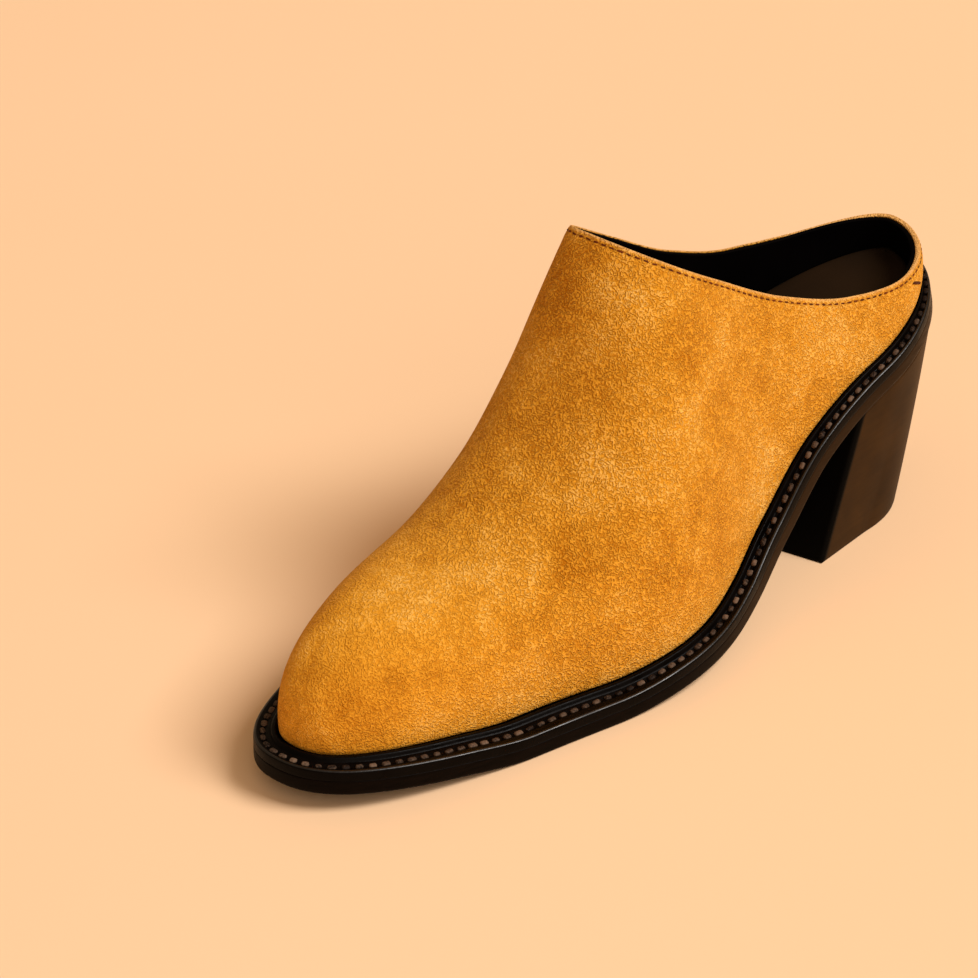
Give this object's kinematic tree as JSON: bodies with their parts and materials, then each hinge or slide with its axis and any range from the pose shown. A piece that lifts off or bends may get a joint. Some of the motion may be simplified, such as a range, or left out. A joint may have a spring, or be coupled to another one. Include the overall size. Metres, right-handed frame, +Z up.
{
  "type": "heeled mule",
  "caption": "Backless suede mule with a high instep, round toe, welted sole and block heel, left shoe.",
  "frame": {"origin": "centre of the shoe's box in plan, on the floor it stands on", "axes": "toe toward -Y, heel toward +Y, outer side of the left foot toward +X, +Z up"},
  "size_m": [0.0832, 0.2398, 0.1044],
  "materials": {
    "upper": "golden tan suede",
    "insole": "smooth dark sock lining",
    "welt": "black waxed leather",
    "outsole": "dark brown burnished edge",
    "heel": "dark brown stacked block, satin"
  },
  "bodies": {
    "root": {"outsole": "outsole", "welt": "welt", "insole": "insole", "upper": "upper", "heel": "heel"}
  },
  "joints": []
}
